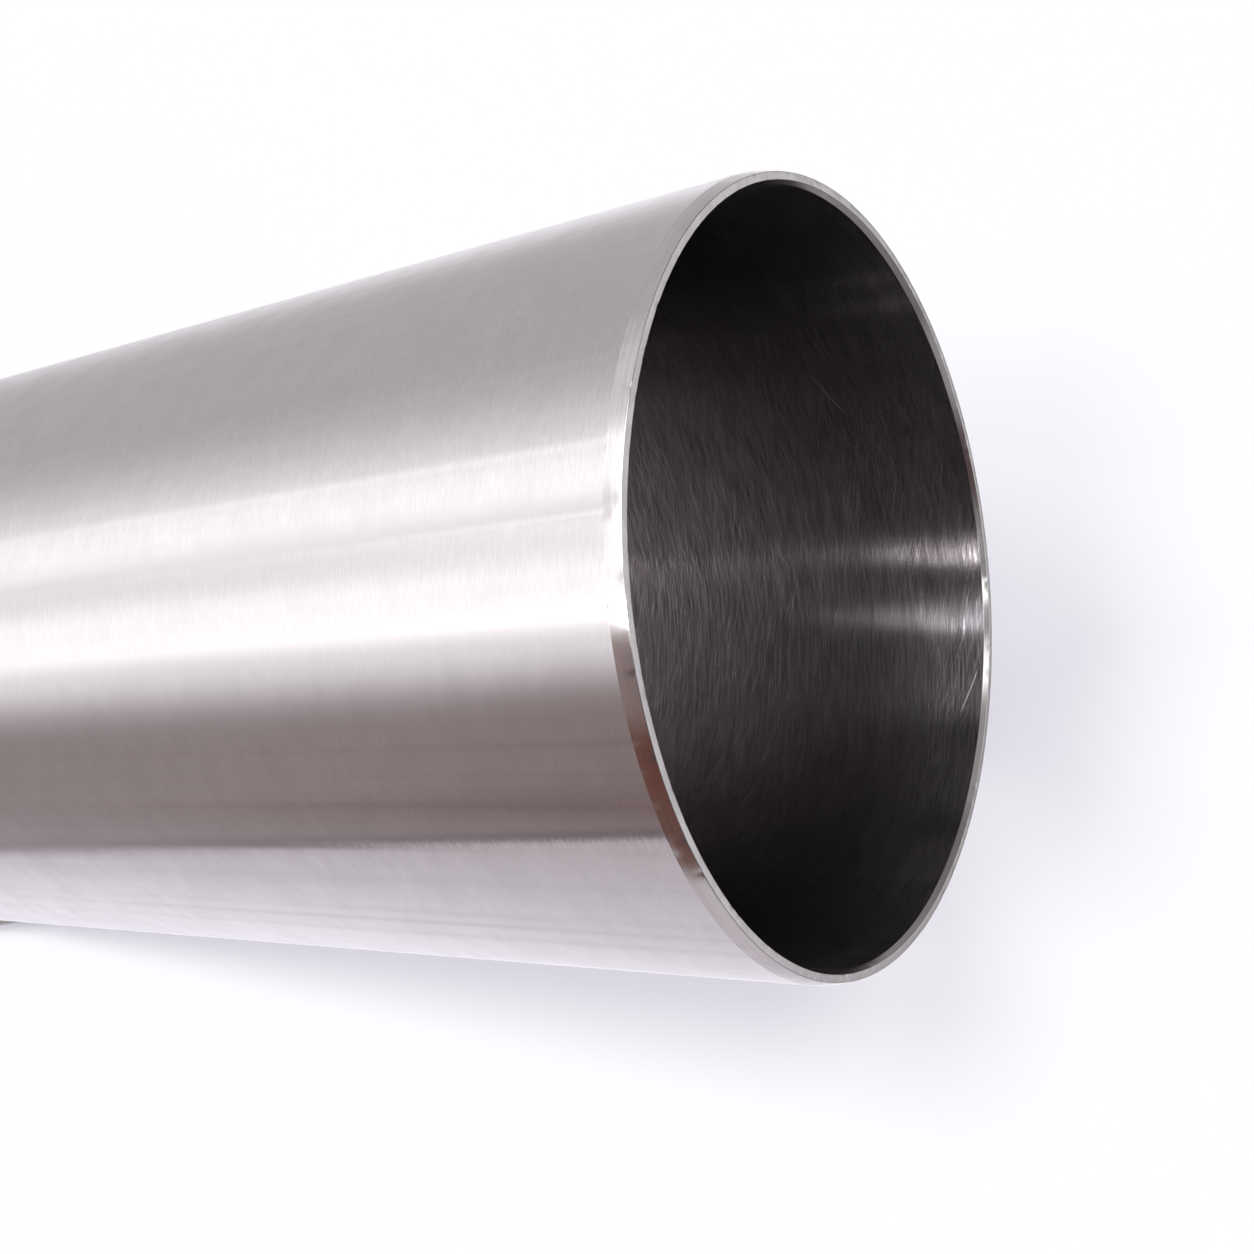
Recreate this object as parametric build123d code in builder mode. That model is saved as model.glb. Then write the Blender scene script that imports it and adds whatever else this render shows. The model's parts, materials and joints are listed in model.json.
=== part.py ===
from build123d import *

import os
from math import radians, tan

# Dry cylinder liner for an internal combustion engine, turned from one tube casting.
#
# Frame: millimetres, +Z up. The liner stands on the face of its locating flange.
# The origin is on the bore axis, in that face; the lead-in end points up.

# ---- driving dimensions (mm, degrees) ---------------------------------------
bore_diameter = 100.0  # honed running surface for the piston
outside_diameter = 104.0  # ground surface that is pressed into the block
overall_length = 191.0  # from the flange face to the lead-in end

flange_diameter = 107.6  # locating flange, seated in the block's counterbore
flange_thickness = 4.0
flange_edge_chamfer = 0.4  # both outer corners of the flange
flange_root_fillet = 0.5  # between the flange's shoulder and the ground surface

lead_in_length = 2.0  # outer taper that starts the liner into the block
lead_in_angle = 15.0  # measured from the axis

bore_chamfer_length = 0.8  # inner taper that guides the piston rings in
bore_chamfer_angle = 30.0  # measured from the axis
flange_bore_chamfer = 0.5  # the same corner at the flange end, at 45 degrees

# ---- values worked out from them --------------------------------------------
bore_radius = bore_diameter / 2
outside_radius = outside_diameter / 2
flange_radius = flange_diameter / 2
lead_in_drop = lead_in_length * tan(radians(lead_in_angle))
bore_chamfer_rise = bore_chamfer_length * tan(radians(bore_chamfer_angle))

os.makedirs("parts", exist_ok=True)

# ---- the liner: its half section, turned once about the bore axis -----------
with BuildPart() as cylinder_liner:
    with BuildSketch(Plane.XZ) as half_section:
        with BuildLine():
            Polyline(
                # up the bore, from the flange end to the lead-in end
                (bore_radius + flange_bore_chamfer, 0),
                (bore_radius, flange_bore_chamfer),
                (bore_radius, overall_length - bore_chamfer_length),
                (bore_radius + bore_chamfer_rise, overall_length),
                # across the flat end face and down the outside
                (outside_radius - lead_in_drop, overall_length),
                (outside_radius, overall_length - lead_in_length),
                (outside_radius, flange_thickness),
                # out over the flange and back along its seating face
                (flange_radius, flange_thickness),
                (flange_radius, 0),
                close=True,
            )
        make_face()
        flange_corners = half_section.vertices().group_by(Axis.X)[-1]
        chamfer(flange_corners, length=flange_edge_chamfer)
        shoulder_corner = (outside_radius, flange_thickness)
        flange_root = half_section.vertices().sort_by_distance(shoulder_corner)[0]
        fillet(flange_root, radius=flange_root_fillet)
    revolve(axis=Axis.Z)

cylinder_liner.part.label = "cylinder_liner"
export_step(cylinder_liner.part, "parts/cylinder_liner.step")
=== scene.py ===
"""Cylinder liner, standing on its flange: ground outside, turned ends, honed bore.

Metres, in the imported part's own frame: +Z up the bore, origin in the flange's face.
Azimuths are degrees about Z, 0 towards -Y (the camera's side), positive towards +X.
"""

import json
import random
from math import cos, pi, radians, sin, tan

import bpy
from mathutils import Matrix, Vector


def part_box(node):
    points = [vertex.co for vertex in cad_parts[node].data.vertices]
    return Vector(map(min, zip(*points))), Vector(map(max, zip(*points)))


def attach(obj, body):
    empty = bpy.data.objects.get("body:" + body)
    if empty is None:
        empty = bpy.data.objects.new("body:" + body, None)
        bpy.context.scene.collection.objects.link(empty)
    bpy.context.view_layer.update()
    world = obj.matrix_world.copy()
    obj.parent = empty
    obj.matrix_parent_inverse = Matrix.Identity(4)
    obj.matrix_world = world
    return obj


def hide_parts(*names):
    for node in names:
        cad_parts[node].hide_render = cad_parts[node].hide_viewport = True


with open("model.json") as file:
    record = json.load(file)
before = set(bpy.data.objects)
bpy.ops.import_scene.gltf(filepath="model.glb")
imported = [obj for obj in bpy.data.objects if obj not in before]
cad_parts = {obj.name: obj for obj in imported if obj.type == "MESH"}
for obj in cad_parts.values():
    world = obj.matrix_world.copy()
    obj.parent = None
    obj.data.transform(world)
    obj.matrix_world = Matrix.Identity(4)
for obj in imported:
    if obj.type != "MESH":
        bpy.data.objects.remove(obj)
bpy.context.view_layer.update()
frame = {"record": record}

MM = 0.001

# ---- sizes, from the frame's own mounts ---------------------------------------------------------
mounts = {m["name"]: m for m in frame["record"]["mounts"]}


def round_mount(name):
    """(radius, lowest z, highest z) of a round mount, in metres."""
    m = mounts[name]
    half_length = m["dims"]["length_mm"] * MM / 2
    middle = m["pos_m"][2]
    return m["dims"]["r_mm"] * MM, middle - half_length, middle + half_length


bore_radius, bore_start, bore_end = round_mount("bore")
outside_radius, _, ground_end = round_mount("block_fit")
flange_radius, rim_start, rim_end = round_mount("flange_rim")
shoulder_height = mounts["flange_seat"]["pos_m"][2]
height = mounts["lead_in_face"]["pos_m"][2]

lead_in_angle = radians(15.0)
bore_chamfer_angle = radians(30.0)
lead_in_drop = (height - ground_end) * tan(lead_in_angle)
bore_chamfer_rise = (height - bore_end) * tan(bore_chamfer_angle)

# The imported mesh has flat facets, so its box is a hair smaller than the true circle.
low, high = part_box("cylinder_liner")
flange_radius = min(flange_radius, high.x, high.y, -low.x, -low.y)

# ---- mesh: one closed section, turned about Z ---------------------------------------------------
SEGMENTS = 1200
EDGE_BREAK = 0.06 * MM  # tiny round on every turned corner
FACE_EDGE = 0.09 * MM  # worn rounder where the end face meets the lead-in
BORE_EDGE = 0.08 * MM  # and where it meets the bore chamfer
ROOT_FILLET = 0.5 * MM
SUPPORT = 0.05 * MM  # ring beside each corner, so that flats shade flat
GUARD = 0.3 * MM  # unworn ring past it at the mouth, which keeps the nicks out of the flats
ROUND_STEPS = 3
FILLET_STEPS = 8

# Material slots, in the order in which they are put on the mesh.
GROUND, LEAD_IN, FACED, BORE_CHAMFER, HONED, TURNED = range(6)

# The corners at the mouth, which carry the handling marks, by their place in the section.
BORE_CORNER, FACE_CORNER, LEAD_IN_CORNER = 3, 4, 5
MOUTH_CORNERS = (BORE_CORNER, FACE_CORNER, LEAD_IN_CORNER)
UNWORN = -1  # the place given to the points of a guard ring


def liner_corners():
    """(r, z, edge radius, finish of the stretch that follows) for each corner of the section.

    The chamfers at the flange end are at 45 degrees, so each is as deep as it is high.
    """
    return [
        (bore_radius + bore_start, 0.0, EDGE_BREAK, TURNED),
        (bore_radius, bore_start, EDGE_BREAK, HONED),
        (bore_radius, bore_end, EDGE_BREAK, BORE_CHAMFER),
        (bore_radius + bore_chamfer_rise, height, BORE_EDGE, FACED),
        (outside_radius - lead_in_drop, height, FACE_EDGE, LEAD_IN),
        (outside_radius, ground_end, EDGE_BREAK, GROUND),
        (outside_radius, shoulder_height, ROOT_FILLET, TURNED),
        (flange_radius - rim_start, shoulder_height, EDGE_BREAK, TURNED),
        (flange_radius, rim_end, EDGE_BREAK, TURNED),
        (flange_radius, rim_start, EDGE_BREAK, TURNED),
        (flange_radius - rim_start, 0.0, EDGE_BREAK, TURNED),
    ]


def rounded_section(corners):
    """The section's points: (r and z, finish of the stretch after, corner, way into the metal)."""
    points = []
    count = len(corners)
    for i, (r, z, radius, finish) in enumerate(corners):
        corner = Vector((r, z))
        before = (Vector(corners[i - 1][:2]) - corner).normalized()
        after = (Vector(corners[(i + 1) % count][:2]) - corner).normalized()
        last_finish = corners[i - 1][3]
        half_turn = (pi - before.angle(after)) / 2
        setback = radius * tan(half_turn)
        centre = corner + (before + after).normalized() * (radius / cos(half_turn))
        start, end = corner + before * setback, corner + after * setback
        steps = FILLET_STEPS if radius == ROOT_FILLET else ROUND_STEPS
        inward = (centre - corner).normalized()
        across = Vector((-inward.y, inward.x))
        if across.dot(after) < 0:
            across = -across
        if i in MOUTH_CORNERS:
            points.append((start + before * GUARD, last_finish, UNWORN, inward))
        points.append((start + before * SUPPORT, last_finish, i, inward))
        for step in range(steps + 1):
            turn = half_turn * (2 * step / steps - 1)
            spoke = -inward * cos(turn) + across * sin(turn)
            next_finish = last_finish if step < steps else finish
            points.append((centre + spoke * radius, next_finish, i, inward))
        points.append((end + after * SUPPORT, finish, i, inward))
        if i in MOUTH_CORNERS:
            points.append((end + after * GUARD, finish, UNWORN, inward))
    return points


# ---- handling marks on the mouth's corners ------------------------------------------------------
# The larger nicks: corner, azimuth in degrees, half width and depth.
NICKS = (
    (FACE_CORNER, -72.6, 0.35 * MM, 0.06 * MM),
    (LEAD_IN_CORNER, -73.4, 0.30 * MM, 0.05 * MM),
    (FACE_CORNER, -58.3, 0.30 * MM, 0.04 * MM),
    (FACE_CORNER, -45.0, 0.45 * MM, 0.05 * MM),
    (BORE_CORNER, -30.5, 0.35 * MM, 0.05 * MM),
    (LEAD_IN_CORNER, 16.8, 0.30 * MM, 0.03 * MM),
    (FACE_CORNER, 35.7, 0.40 * MM, 0.06 * MM),
    (BORE_CORNER, 43.9, 0.40 * MM, 0.05 * MM),
    (LEAD_IN_CORNER, 46.2, 0.90 * MM, 0.03 * MM),
    (LEAD_IN_CORNER, 49.5, 0.50 * MM, 0.03 * MM),
    (LEAD_IN_CORNER, 54.0, 0.40 * MM, 0.03 * MM),
    (FACE_CORNER, 70.6, 0.40 * MM, 0.06 * MM),
    (BORE_CORNER, 77.3, 0.35 * MM, 0.05 * MM),
    (FACE_CORNER, 128.0, 0.40 * MM, 0.06 * MM),
    (BORE_CORNER, -141.0, 0.35 * MM, 0.05 * MM),
    (LEAD_IN_CORNER, -118.0, 0.50 * MM, 0.06 * MM),
)
SMALL_NICKS = 90  # on each of the three corners
SMALL_NICK_HALF_WIDTH = (0.2, 0.7)  # smallest and largest, in millimetres
SMALL_NICK_DEPTH = (0.01, 0.04)
NICK_SEED = 7
EDGE_WAVE = 0.018 * MM  # how deep the wave along each edge is
# Waves in one turn, weight, and phase shift from one corner to the next.
EDGE_WAVES = ((9, 1.0, 1), (31, 0.6, 2), (77, 0.4, 0))


def worn_depths():
    """For each mouth corner, how far each of its SEGMENTS is worn into the metal."""
    draw = random.Random(NICK_SEED)
    marks = list(NICKS)
    for corner in MOUTH_CORNERS:
        for _ in range(SMALL_NICKS):
            half_width = draw.uniform(*SMALL_NICK_HALF_WIDTH) * MM
            azimuth_deg = draw.uniform(-180, 180)
            depth = draw.uniform(*SMALL_NICK_DEPTH) * MM
            marks.append((corner, azimuth_deg, half_width, depth))
    highest = sum(weight for _, weight, _ in EDGE_WAVES)
    depths = {corner: [] for corner in MOUTH_CORNERS}
    for corner in MOUTH_CORNERS:
        for s in range(SEGMENTS):
            a = 2 * pi * s / SEGMENTS
            waves = [w * sin(turns * a + shift * corner) for turns, w, shift in EDGE_WAVES]
            depths[corner].append((highest + sum(waves)) / (2 * highest) * EDGE_WAVE)
    pitch = 2 * pi * outside_radius / SEGMENTS
    for corner, azimuth_deg, half_width, depth in marks:
        middle = (azimuth_deg - 90.0) / 360.0 * SEGMENTS
        reach = int(half_width / pitch) + 1
        for s in range(round(middle) - reach, round(middle) + reach + 1):
            share = 1 - abs(s - middle) * pitch / (half_width + pitch)
            if share > 0:
                depths[corner][s % SEGMENTS] += depth * share
    return depths


def turned_mesh(name, section):
    """Closed mesh of the section turned about Z, with a map that unrolls it."""
    worn = worn_depths()
    rings = len(section)
    vertices = []
    for (r, z), _, corner, inward in section:
        depths = worn.get(corner)
        for s in range(SEGMENTS):
            a = 2 * pi * s / SEGMENTS
            depth = depths[s] if depths else 0.0
            reach = r + inward.x * depth
            vertices.append((reach * cos(a), reach * sin(a), z + inward.y * depth))
    lengths = [0.0]
    for ring in range(rings):
        lengths.append(lengths[-1] + (section[(ring + 1) % rings][0] - section[ring][0]).length)
    faces, finishes, unrolled = [], [], []
    for ring in range(rings):
        here, above = ring * SEGMENTS, (ring + 1) % rings * SEGMENTS
        v0, v1 = lengths[ring] / lengths[-1], lengths[ring + 1] / lengths[-1]
        for s in range(SEGMENTS):
            n = (s + 1) % SEGMENTS
            u0, u1 = s / SEGMENTS, (s + 1) / SEGMENTS
            faces.append((here + s, above + s, above + n, here + n))
            finishes.append(section[ring][1])
            unrolled.extend((u0, v0, u0, v1, u1, v1, u1, v0))
    mesh = bpy.data.meshes.new(name)
    mesh.from_pydata(vertices, [], faces)
    mesh.polygons.foreach_set("material_index", finishes)
    mesh.polygons.foreach_set("use_smooth", [True] * len(faces))
    mesh.uv_layers.new(name="unrolled").data.foreach_set("uv", unrolled)
    mesh.update()
    return mesh


# ---- small helpers for node trees ---------------------------------------------------------------
NOISE_ROUGHNESS = 0.6


class Nodes:
    """Short names for the nodes that the materials and the world use."""

    def __init__(self, tree):
        self.tree = tree
        tree.nodes.clear()

    def new(self, kind, **settings):
        node = self.tree.nodes.new("ShaderNode" + kind)
        for key, value in settings.items():
            setattr(node, key, value)
        return node

    def put(self, socket, value):
        if isinstance(value, bpy.types.NodeSocket):
            self.tree.links.new(value, socket)
        else:
            socket.default_value = value

    def math(self, operation, a, b=0.0, c=0.0):
        node = self.new("Math", operation=operation)
        for socket, value in zip(node.inputs, (a, b, c)):
            self.put(socket, value)
        return node.outputs[0]

    def smooth(self, value, start, end, low=0.0, high=1.0):
        """low before start, high after end, eased between them."""
        node = self.new("MapRange", interpolation_type="SMOOTHSTEP")
        for socket, v in zip(node.inputs, (value, start, end, low, high)):
            self.put(socket, v)
        return node.outputs[0]

    def mix(self, factor, a, b):
        node = self.new("Mix", data_type="RGBA")
        self.put(node.inputs[0], factor)
        self.put(node.inputs[6], a)
        self.put(node.inputs[7], b)
        return node.outputs[2]

    def vector_math(self, operation, a, b=None, scale=None):
        node = self.new("VectorMath", operation=operation)
        self.put(node.inputs[0], a)
        if b is not None:
            self.put(node.inputs[1], b)
        if scale is not None:
            self.put(node.inputs["Scale"], scale)
        return node.outputs[0]

    def vector(self, x, y, z):
        node = self.new("CombineXYZ")
        for socket, value in zip(node.inputs, (x, y, z)):
            self.put(socket, value)
        return node.outputs[0]

    def noise(self, vector, detail):
        node = self.new("TexNoise", noise_dimensions="3D")
        self.put(node.inputs["Vector"], vector)
        node.inputs["Scale"].default_value = 1.0
        node.inputs["Detail"].default_value = detail
        node.inputs["Roughness"].default_value = NOISE_ROUGHNESS
        return node.outputs[0]


def rgb(r, g, b):
    return (r, g, b, 1.0)


# ---- materials ----------------------------------------------------------------------------------
def object_axes(n):
    """x, y, z of the surface point, in metres, in the part's frame."""
    where = n.new("TexCoord").outputs["Object"]
    split = n.new("SeparateXYZ")
    n.put(split.inputs[0], where)
    return split.outputs


def grain(n, round_axis, along_axis, offset=0.0):
    """Noise whose marks are about `round_axis` metres round the axis and `along_axis` along it."""
    x, y, z = object_axes(n)
    stretched = n.vector(
        n.math("MULTIPLY_ADD", x, 1 / round_axis, offset),
        n.math("MULTIPLY", y, 1 / round_axis),
        n.math("MULTIPLY", z, 1 / along_axis),
    )
    return n.noise(stretched, detail=2.0)


def unrolled(n, radius):
    """Distance round the bore, 0 at +Y, and height: the wall laid out flat."""
    x, y, z = object_axes(n)
    return n.math("MULTIPLY", n.math("ARCTAN2", x, y), radius), z


def turned_axes(n, across, up, angle):
    """The same place on axes that are turned by `angle` degrees."""
    c, s = cos(radians(angle)), sin(radians(angle))
    along = n.math("MULTIPLY_ADD", across, c, n.math("MULTIPLY", up, s))
    over = n.math("MULTIPLY_ADD", across, -s, n.math("MULTIPLY", up, c))
    return along, over


def helix_grain(n, radius, angle, long, across):
    """Noise drawn out along helices that climb at `angle` degrees on the bore."""
    along, over = turned_axes(n, *unrolled(n, radius), angle)
    stretched = n.vector(
        n.math("MULTIPLY", along, 1 / long), n.math("MULTIPLY", over, 1 / across), angle
    )
    return n.noise(stretched, detail=1.0)


def scratch(n, radius, place, height_at, angle, half_length, half_width):
    """1 on one straight scratch on the wall laid out flat, fading at its ends."""
    across, up = unrolled(n, radius)
    across = n.math("SUBTRACT", across, place)
    up = n.math("SUBTRACT", up, height_at)
    along, over = turned_axes(n, across, up, angle)
    solid_length, solid_width = half_length * SOLID_LENGTH, half_width * SOLID_WIDTH
    ends = n.smooth(n.math("ABSOLUTE", along), solid_length, half_length, 1.0, 0.0)
    sides = n.smooth(n.math("ABSOLUTE", over), solid_width, half_width, 1.0, 0.0)
    return n.math("MULTIPLY", ends, sides)


def centred(n, value, amount):
    """Noise from -amount to +amount."""
    return n.math("MULTIPLY_ADD", value, 2 * amount, -amount)


def tilted_normal(n, tangent, tilt, rise):
    """The surface normal, leant round the axis by `tilt` radians and along it by `rise`."""
    lean = n.vector_math("SCALE", tangent, scale=tilt)
    lean = n.vector_math("ADD", lean, n.vector(0.0, 0.0, rise))
    whole = n.vector_math("ADD", n.new("NewGeometry").outputs["Normal"], lean)
    return n.vector_math("NORMALIZE", whole)


def shades(colour, spread):
    """The colour darker and lighter by the given share."""
    return (
        rgb(*(c * (1 - spread) for c in colour)),
        rgb(*(min(1.0, c * (1 + spread)) for c in colour)),
    )


# Clouds and streaks in every finish: size round the axis and along it, offset of the noise,
# its range, how far it is laid over the colour, and how much darker it is there.
CLOUDS = (7 * MM, 4 * MM, 3.0)
CLOUD_TONE = (0.3, 0.7, 0.25, 0.16)
CLOUD_GLOSS = (0.25, 0.75, 0.94, 1.08)  # range of the noise, and the roughness at its ends
STREAKS = (1.6 * MM, 45 * MM, 9.0)
STREAK_TONE = (0.3, 0.7, 0.20, 0.12)
LINE_TONE = (0.35, 0.65)
GLOSS_TURN = 0.25  # a quarter turn, so that the gloss spreads across the lines

HONE_METALLIC = 0.96
GROOVES = (3, 6 * MM, 0.18 * MM)  # angle, length and width of the finest hone grooves
GROOVE_RISE = 0.2  # how far their sides lean along the bore, in radians
# Angle, length and width of the three sets of hone lines.
HONE_LINES = ((2, 14 * MM, 0.24 * MM), (9, 9 * MM, 0.18 * MM), (-12, 10 * MM, 0.20 * MM))
HONE_LINES_SCALE = 1 / 1.8  # brings the spread of their sum back to that of one noise
# Faint one-way scratches: angle, length and width; then the patches in which they show.
FINE_SCRATCHES = (-19, 9 * MM, 0.26 * MM)
FINE_SCRATCH_RANGE = (0.53, 0.72)
SCRATCH_PATCHES = (13 * MM, 9 * MM, 5.0)
SCRATCH_PATCH_RANGE = (0.40, 0.58)
FINE_SCRATCH_SHARE = 0.4
SCRATCH_COLOUR = (0.52, 0.50, 0.51)
SCRATCH_ROUGHNESS = 0.06
SOLID_LENGTH = 0.5  # share of a long scratch's length that is at full strength
SOLID_WIDTH = 0.4
# Long scratches: place round the bore from +Y, height, angle, half length and half width.
BORE_SCRATCHES = (
    (20.5 * MM, 188.1 * MM, -19, 4.6 * MM, 0.11 * MM),
    (-31.0 * MM, 171.0 * MM, 24, 5.5 * MM, 0.10 * MM),
    (64.0 * MM, 150.0 * MM, -31, 7.0 * MM, 0.10 * MM),
    (-96.0 * MM, 181.0 * MM, 17, 5.0 * MM, 0.12 * MM),
    (128.0 * MM, 166.0 * MM, 38, 6.0 * MM, 0.10 * MM),
)


def hone_lines(n):
    """The sum of the crossing hone lines, as one noise about 0.5."""
    whole = 0.0
    for angle, long, across in HONE_LINES:
        whole = n.math("ADD", whole, helix_grain(n, bore_radius, angle, long, across))
    middle = 0.5 * len(HONE_LINES) * HONE_LINES_SCALE
    return n.math("MULTIPLY_ADD", whole, HONE_LINES_SCALE, 0.5 - middle)


def hone_marks(n, tone, rough):
    """Faint one-way scratches in patches, and a few long ones, over the hone lines."""
    fine = n.smooth(helix_grain(n, bore_radius, *FINE_SCRATCHES), *FINE_SCRATCH_RANGE)
    patches = n.smooth(grain(n, *SCRATCH_PATCHES), *SCRATCH_PATCH_RANGE)
    marks = n.math("MULTIPLY", n.math("MULTIPLY", fine, patches), FINE_SCRATCH_SHARE)
    for row in BORE_SCRATCHES:
        marks = n.math("MAXIMUM", marks, scratch(n, bore_radius, *row))
    tone = n.mix(marks, tone, rgb(*SCRATCH_COLOUR))
    return tone, n.math("MULTIPLY_ADD", marks, SCRATCH_ROUGHNESS, rough)


def darkened(n, tone, noise, colour, start, end, share, darker):
    """The tone with the noise's high parts laid over it as a darker shade of the colour."""
    return n.mix(n.smooth(noise, start, end, 0.0, share), tone, shades(colour, darker)[0])


def metal(name, colour, roughness, anisotropy, marks, tilt, spread):
    """A metal whose fine lines run round the axis, so that its gloss spreads along it.

    Without `marks` it is the bore's: cross-hatched hone lines, grooves and a dull share.
    """
    hone = marks is None
    material = bpy.data.materials.new(name)
    material.use_nodes = True
    n = Nodes(material.node_tree)
    shader = n.new("BsdfPrincipled")
    shader.inputs["Metallic"].default_value = HONE_METALLIC if hone else 1.0
    shader.inputs["Anisotropic"].default_value = anisotropy
    shader.inputs["Anisotropic Rotation"].default_value = GLOSS_TURN
    tangent = n.new("Tangent", direction_type="RADIAL", axis="Z").outputs[0]
    n.put(shader.inputs["Tangent"], tangent)

    lines = hone_lines(n) if hone else grain(n, *marks)
    clouds = grain(n, *CLOUDS)
    tone = n.mix(n.smooth(lines, *LINE_TONE), *shades(colour, spread))
    tone = darkened(n, tone, clouds, colour, *CLOUD_TONE)
    tone = darkened(n, tone, grain(n, *STREAKS), colour, *STREAK_TONE)
    start, end, glossier, duller = CLOUD_GLOSS
    rough = n.smooth(clouds, start, end, roughness * glossier, roughness * duller)
    if hone:
        tone, rough = hone_marks(n, tone, rough)
    n.put(shader.inputs["Base Color"], tone)
    n.put(shader.inputs["Roughness"], rough)

    grooves = helix_grain(n, bore_radius, *GROOVES) if hone else lines
    rise = centred(n, grooves, GROOVE_RISE if hone else tilt)
    n.put(shader.inputs["Normal"], tilted_normal(n, tangent, centred(n, lines, tilt), rise))

    output = n.new("OutputMaterial")
    n.put(output.inputs[0], shader.outputs[0])
    return material


IRON = (0.615, 0.60, 0.60)
FACE_IRON = (0.52, 0.506, 0.511)
BORE_IRON = (0.26, 0.244, 0.253)

# Name, colour, roughness, anisotropy, (length, width) of the lines, tilt in radians, tone spread.
FINISHES = {
    GROUND: ("ground_outside", IRON, 0.155, 1.0, (1.5 * MM, 0.18 * MM), 0.014, 0.03),
    LEAD_IN: ("lead_in_taper", IRON, 0.13, 0.8, (6 * MM, 0.15 * MM), 0.01, 0.06),
    FACED: ("end_face", FACE_IRON, 0.24, 0.5, (3 * MM, 0.15 * MM), 0.01, 0.08),
    BORE_CHAMFER: ("bore_chamfer", IRON, 0.16, 0.8, (8 * MM, 0.12 * MM), 0.01, 0.05),
    HONED: ("honed_bore", BORE_IRON, 0.19, 1.0, None, 0.015, 0.34),
    TURNED: ("turned_flange", IRON, 0.3, 0.8, (8 * MM, 0.15 * MM), 0.03, 0.07),
}

# ---- the liner ----------------------------------------------------------------------------------
mesh = turned_mesh("liner", rounded_section(liner_corners()))
for finish in sorted(FINISHES):
    mesh.materials.append(metal(*FINISHES[finish]))
liner = bpy.data.objects.new("liner", mesh)
bpy.context.scene.collection.objects.link(liner)
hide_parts("cylinder_liner")
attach(liner, "root")

# ---- floor --------------------------------------------------------------------------------------
FLOOR_RADIUS = 12.0
FLOOR_GAP = 0.2 * MM  # under the liner, so that no two faces share a plane
DISC_STEPS = 96
PAPER = (0.20, 0.20, 0.20)
SHADOW_TINT = (0.03, 0.035, 0.14)  # what the floor's shadow is filled with
BORE_GLOW = (1.35, 1.30, 1.33)  # painted reflection: glows only in mirror rays, standing in for the lit table that the bore mirrors at its foot
# painted reflection of a bright strip, seen only in mirror rays
STRIP_GLOW = (25.0, 23.6, 23.6)
BLACK = (0.0, 0.0, 0.0)


def floor_piece(name, corners, z, material):
    """A flat piece of the stage at height z."""
    piece_mesh = bpy.data.meshes.new(name)
    piece_mesh.from_pydata([(x, y, z) for x, y in corners], [], [tuple(range(len(corners)))])
    piece_mesh.materials.append(material)
    piece = bpy.data.objects.new(name, piece_mesh)
    bpy.context.scene.collection.objects.link(piece)
    return piece


def circle(radius):
    turns = [2 * pi * step / DISC_STEPS for step in range(DISC_STEPS)]
    return [(radius * cos(a), radius * sin(a)) for a in turns]


def floor_material(name, camera_glow, mirrored_glow):
    """White paper, and a glow that no lamp gives. The camera glow fills the floor's shadow; the
    mirror glow is painted light, a reflection seen only in the metal.
    """
    material = bpy.data.materials.new(name)
    material.use_nodes = True
    n = Nodes(material.node_tree)
    paper = n.new("BsdfDiffuse")
    paper.inputs["Color"].default_value = rgb(*PAPER)
    path = n.new("LightPath")
    colour = n.mix(path.outputs["Is Camera Ray"], rgb(*BLACK), rgb(*camera_glow))
    colour = n.mix(path.outputs["Is Glossy Ray"], colour, rgb(*mirrored_glow))
    glow = n.new("Emission")
    n.put(glow.inputs["Color"], colour)
    both_parts = n.new("AddShader")
    n.put(both_parts.inputs[0], paper.outputs[0])
    n.put(both_parts.inputs[1], glow.outputs[0])
    output = n.new("OutputMaterial")
    n.put(output.inputs[0], both_parts.outputs[0])
    material.cycles.emission_sampling = "NONE"
    return material


paper_floor = floor_material("floor_paper", SHADOW_TINT, BLACK)
floor = floor_piece("floor", circle(FLOOR_RADIUS), -FLOOR_GAP, paper_floor)
floor.visible_glossy = False
floor.visible_shadow = False

# Painted reflection: a disc of paper under the bore that glows only in mirror rays.
bore_paper = floor_material("bore_paper", BLACK, BORE_GLOW)
floor_piece("floor_under_bore", circle(bore_radius), -FLOOR_GAP / 2, bore_paper)

# A narrow strip under the bore that glows only in mirror rays: a painted reflection, which the
# metal carries up the wall as a thin streak of light.
STRIP_HALF_WIDTH = 0.5 * MM
STRIP_LEAN = radians(22)
STRIP_REACH = 0.99  # of the bore's radius
across = Vector((cos(STRIP_LEAN), sin(STRIP_LEAN))) * STRIP_HALF_WIDTH
length = Vector((-sin(STRIP_LEAN), cos(STRIP_LEAN))) * bore_radius * STRIP_REACH
strip_corners = [across - length, across + length, length - across, -across - length]
strip_paper = floor_material("strip_paper", BLACK, STRIP_GLOW)
floor_piece("floor_strip", strip_corners, -FLOOR_GAP / 4, strip_paper)

# ---- world: the studio that the metal mirrors ---------------------------------------------------
world = bpy.data.worlds.new("studio")
bpy.context.scene.world = world
world.use_nodes = True
n = Nodes(world.node_tree)
direction = n.new("SeparateXYZ")
n.put(direction.inputs[0], n.new("TexCoord").outputs["Generated"])
dx, dy, dz = direction.outputs
azimuth = n.math("DEGREES", n.math("ARCTAN2", dx, n.math("MULTIPLY", dy, -1.0)))


def sine(elevation):
    return sin(radians(max(-90.0, min(90.0, elevation))))


def band(centre, half_width, softness, lean=0.0):
    """1 within half_width of the centre azimuth, 0 past it, eased over `softness` degrees.

    With `lean`, the centre moves on by that many degrees from the horizon to straight up.
    """
    if lean:
        centre = n.math("MULTIPLY_ADD", dz, lean, centre)
    distance = n.math("PINGPONG", n.math("SUBTRACT", azimuth, centre), 180.0)
    return n.smooth(distance, half_width - softness / 2, half_width + softness / 2, 1.0, 0.0)


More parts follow.
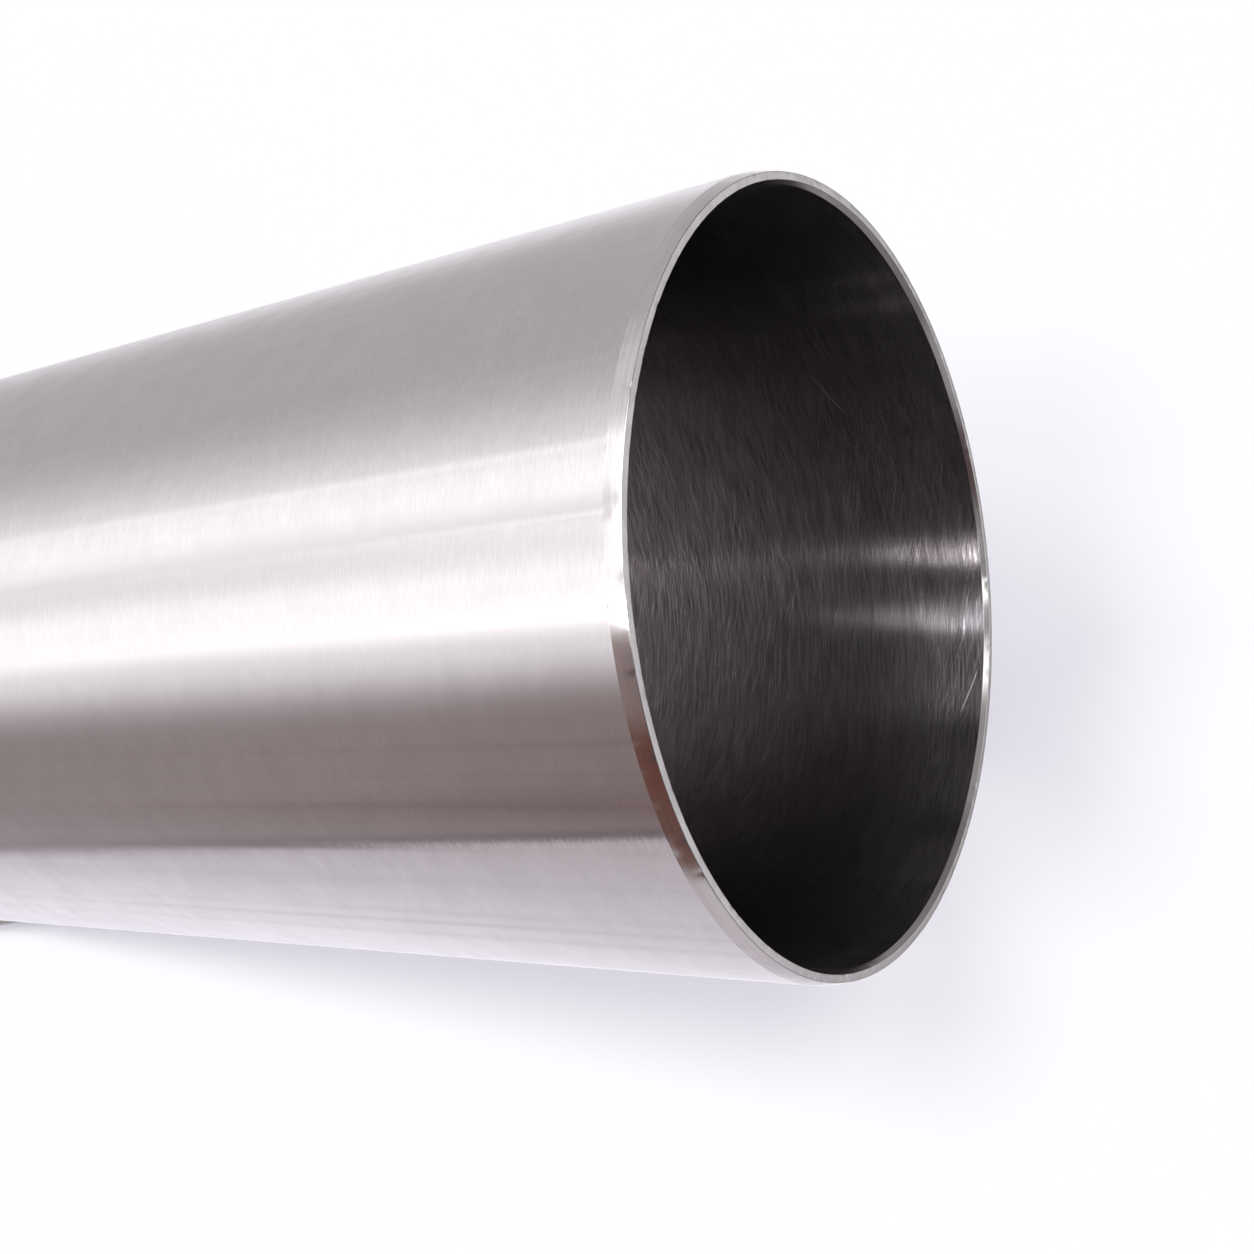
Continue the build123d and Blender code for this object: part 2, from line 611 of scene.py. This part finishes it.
def panel(under, zone, centre, half_width, soft_side, bottom, top, soft_end, colour, lean=0.0):
    """Paint a soft-edged panel, given by its azimuths and elevations, over what is there.

    The zone is the lowest and highest elevation that this part of the sky shows.
    """
    lowest, highest = zone
    reach = soft_end / 2
    starts_inside = bottom > -90 and bottom + reach > lowest
    stops_inside = top < 90 and top - reach < highest
    if starts_inside and bottom - reach >= highest or stops_inside and top + reach <= lowest:
        return under
    if half_width == 180 and not starts_inside and not stops_inside:
        return rgb(*colour)
    mask = band(centre, half_width, soft_side, lean) if half_width < 180 else 1.0
    if starts_inside:
        start = n.smooth(dz, sine(bottom - reach), sine(bottom + reach))
        mask = n.math("MULTIPLY", mask, start)
    if stops_inside:
        stop = n.smooth(dz, sine(top - reach), sine(top + reach), 1.0, 0.0)
        mask = n.math("MULTIPLY", mask, stop)
    return n.mix(mask, under, rgb(*colour))


ROOM_LIGHT = (0.64, 0.605, 0.63)

# Azimuth, half width and side softness; bottom, top and end softness; colour; lean of a lamp.
ROOM = (
    (-14, 42, 36, -90, 90, 0, (1.20, 1.15, 1.19)),  # glow round the lamps
    (-18, 50, 20, -12, 90, 12, (0.95, 0.91, 0.93)),
    (49, 27, 22, -90, 90, 0, (0.42, 0.36, 0.365)),  # dark, warm side of the room
    (49, 27, 22, -36, 90, 32, (0.31, 0.235, 0.23)),
    (58, 5, 8, -42, 90, 24, (0.27, 0.205, 0.20)),
    (38, 32, 12, -15, 90, 14, (0.36, 0.27, 0.26)),
    (52, 20, 14, -15, 90, 14, (0.19, 0.075, 0.055)),
    (180, 40, 44, -90, -23, 12, (1.27, 1.25, 1.31)),  # white table, far side
    (180, 11, 16, -20, 6, 12, (0.85, 0.83, 0.87)),
)
ABOVE_MOUTH = (
    (118, 42, 30, -15, 6, 12, (0.76, 0.71, 0.75)),  # the sheet, seen at a low angle
    (-126, 20, 20, -15, 2, 8, (0.50, 0.48, 0.49)),
    (64, 12, 10, -14, 2, 4, (0.20, 0.10, 0.08)),
    (0, 180, 0, 2, 90, 10, (0.30, 0.28, 0.29)),  # dim room over the mouth's height
    (0, 180, 0, 17, 90, 6, (0.24, 0.225, 0.235)),
    (180, 28, 20, 2, 20, 5, (0.10, 0.095, 0.10)),
    (95, 20, 16, 2, 9, 6, (0.9, 0.86, 0.88)),
    (0, 180, 0, 58, 90, 8, (1.15, 1.13, 1.16)),  # white ceiling
    (-5, 85, 30, 1, 19, 8, (0.20, 0.18, 0.19)),
    (50, 36, 16, 1, 22, 8, (0.03, 0.025, 0.03)),
    (-64, 22, 14, 24, 50, 10, (0.42, 0.40, 0.40)),
    (71, 14, 12, 24, 50, 10, (0.42, 0.40, 0.40)),
    (35, 13, 8, 22, 50, 10, (0.11, 0.07, 0.072)),
    (179, 31, 6, 21, 50, 4, (1.04, 1.02, 1.05)),  # white card behind the liner
    (165, 13, 8, 19, 27, 4, (0.62, 0.57, 0.59)),
)
LAMPS = (
    (-34.5, 7.5, 9, -90, 2, 5, (1.64, 1.61, 1.64)),
    (-3.5, 9.5, 11, -90, 2, 5, (1.66, 1.63, 1.66)),
    (-42, 3, 4, 0, 28, 4, (1.9, 1.86, 1.9)),
    (-36, 8, 10, 26, 44, 6, (2.3, 2.26, 2.3)),
    (-9.5, 3.5, 3, 26, 44, 6, (3.0, 3.0, 3.0)),
    (-70, 12, 12, 2, 10, 6, (2.2, 2.15, 2.2)),
    (-29, 20, 14, 3, 12, 6, (7.5, 7.4, 7.5)),  # these draw the streaks down the bore
    (-22.3, 0.6, 0.9, 4, 13, 4, (260, 256, 261), 32),
    (-22.3, 0.6, 0.9, 13, 18, 4, (205, 202, 205), 32),
    (0.9, 0.5, 0.7, 2, 7, 3, (400, 385, 385), 16),
    (2.1, 0.5, 0.7, 7, 13, 3, (270, 259, 259), 16),
    (2.1, 0.5, 0.7, 13, 22, 4, (78, 75, 75), 16),
    (2.1, 0.5, 0.7, 22, 30, 4, (14, 13.4, 13.4), 16),
)

# The white sheet on the table. Its near edge is a straight line in space, so to the metal it is
# a great circle: the directions at right angles to SHEET_NORMAL.
SHEET_NORMAL = Vector((0.471, 0.851, 0.234))
SHEET_BAND = (120, 70, 40)  # centre, half width and softness in azimuth
SHEET_EDGE = (-0.004, 0.006)
EDGE_SHADE = (-0.045, -0.03)
EDGE_SHADE_COLOUR = (0.15, 0.12, 0.13)
SHEET_START, SHEET_WIDTH = 60, 106  # azimuths over which it turns from grey to white
SHEET_GREY = (0.62, 0.57, 0.60)
SHEET_WHITE = (1.23, 1.18, 1.29)
NEAR_GAIN = (-60, -30, 1.9, 1.0)  # elevations, and how much sooner it turns white there
FAR_GAIN = (-29, -13, 1.0, 0.25)


def gain(start, end, at_start, at_end):
    return n.smooth(dz, sine(start), sine(end), at_start, at_end)


def white_sheet(under):
    """Paint the white sheet on the table, and the dark line along its near edge."""
    facing = n.math("MULTIPLY", dx, SHEET_NORMAL.x)
    facing = n.math("MULTIPLY_ADD", dy, SHEET_NORMAL.y, facing)
    facing = n.math("MULTIPLY_ADD", dz, SHEET_NORMAL.z, facing)
    reach = band(*SHEET_BAND)
    edge_shade = n.math("MULTIPLY", n.smooth(facing, *EDGE_SHADE), reach)
    under = n.mix(edge_shade, under, rgb(*EDGE_SHADE_COLOUR))
    white = n.math("MULTIPLY_ADD", azimuth, 1 / SHEET_WIDTH, -SHEET_START / SHEET_WIDTH)
    white = n.math("MULTIPLY", white, n.math("MULTIPLY", gain(*NEAR_GAIN), gain(*FAR_GAIN)))
    white = n.math("MINIMUM", n.math("MAXIMUM", white, 0.0), 1.0)
    colour = n.mix(white, rgb(*SHEET_GREY), rgb(*SHEET_WHITE))
    return n.mix(n.math("MULTIPLY", n.smooth(facing, *SHEET_EDGE), reach), under, colour)


def background(colour):
    shader = n.new("Background")
    n.put(shader.inputs[0], colour)
    return shader.outputs[0]


def sky(zone):
    """The studio between two elevations."""
    light = rgb(*ROOM_LIGHT)
    if zone[0] < DIM_ROOM_FROM:
        for row in ROOM:
            light = panel(light, zone, *row)
        light = white_sheet(light)
    for row in ABOVE_MOUTH + LAMPS:
        light = panel(light, zone, *row)
    return background(light)


def chosen(which, first, second):
    """The first shader where `which` is 0, the second where it is 1."""
    chooser = n.new("MixShader")
    for socket, value in zip(chooser.inputs, (which, first, second)):
        n.put(socket, value)
    return chooser.outputs[0]


# The sky is built in zones of elevation, so that a ray works out only the panels of its own.
DIM_ROOM_FROM = 7  # from here up, the dim room covers the table, the sheet and what is behind
ZONE_EDGES = (-90, -21, DIM_ROOM_FROM, 55, 90)

studio = sky(ZONE_EDGES[:2])
for edge, top in zip(ZONE_EDGES[1:], ZONE_EDGES[2:]):
    studio = chosen(n.math("GREATER_THAN", dz, sine(edge)), studio, sky((edge, top)))

is_camera = n.new("LightPath").outputs["Is Camera Ray"]
studio = chosen(is_camera, studio, background(rgb(1, 1, 1)))
out = n.new("OutputWorld")
n.put(out.inputs[0], studio)

# ---- lamps for the floor alone; the metal has the studio's light --------------------------------
floor_only = bpy.data.collections.new("floor_only")
floor_only.objects.link(floor)

FLOOR_LAMP_COLOUR = (1.0, 0.985, 0.90)
# Name, azimuth, elevation and width in the sky in degrees, and strength.
FLOOR_LAMPS = (
    ("lamp_high", -21.5, 29, 7, 4.5),
    ("lamp_left", -22, 19, 8, 8.7),
    ("lamp_middle_left", -11.5, 13, 8, 12.6),
    ("lamp_middle", -4, 12, 8, 16.6),
    ("lamp_right", 4, 12, 8, 6.8),
    ("lamp_far_right", 9, 12, 6, 1.5),
)

for name, azimuth_deg, elevation_deg, width_deg, strength in FLOOR_LAMPS:
    lamp_data = bpy.data.lights.new(name, "SUN")
    lamp_data.angle = radians(width_deg)
    lamp_data.energy = strength
    lamp_data.color = FLOOR_LAMP_COLOUR
    lamp = bpy.data.objects.new(name, lamp_data)
    bpy.context.scene.collection.objects.link(lamp)
    a, e = radians(azimuth_deg), radians(elevation_deg)
    towards = Vector((sin(a) * cos(e), -cos(a) * cos(e), sin(e)))
    lamp.location = towards
    lamp.rotation_euler = towards.to_track_quat("Z", "Y").to_euler()
    lamp.light_linking.receiver_collection = floor_only

# ---- camera -------------------------------------------------------------------------------------
CAMERA_FROM_AXIS = 172.7 * MM
CAMERA_OVER_MOUTH = 82.4 * MM
SENSOR = 36.0  # millimetres
FRAME_PIXELS = 1254
FOCAL_PIXELS = 1458.5
CLIP_START = 0.01
# The camera is held sideways: its right points up the bore.
CAMERA_RIGHT = Vector((0.0941, 0.5589, 0.8239))
CAMERA_UP = Vector((-0.9953, 0.0702, 0.0661))
CAMERA_BACK = Vector((-0.0209, -0.8263, 0.5629))

camera_data = bpy.data.cameras.new("camera")
camera_data.sensor_width = SENSOR
camera_data.lens = SENSOR * FOCAL_PIXELS / FRAME_PIXELS
camera_data.clip_start = CLIP_START
camera = bpy.data.objects.new("camera", camera_data)
bpy.context.scene.collection.objects.link(camera)
turn = Matrix((CAMERA_RIGHT, CAMERA_UP, CAMERA_BACK)).transposed()
camera.rotation_euler = turn.to_euler()
camera.location = (0.0, -CAMERA_FROM_AXIS, height + CAMERA_OVER_MOUTH)
bpy.context.scene.camera = camera

bpy.context.scene.view_settings.view_transform = "Standard"
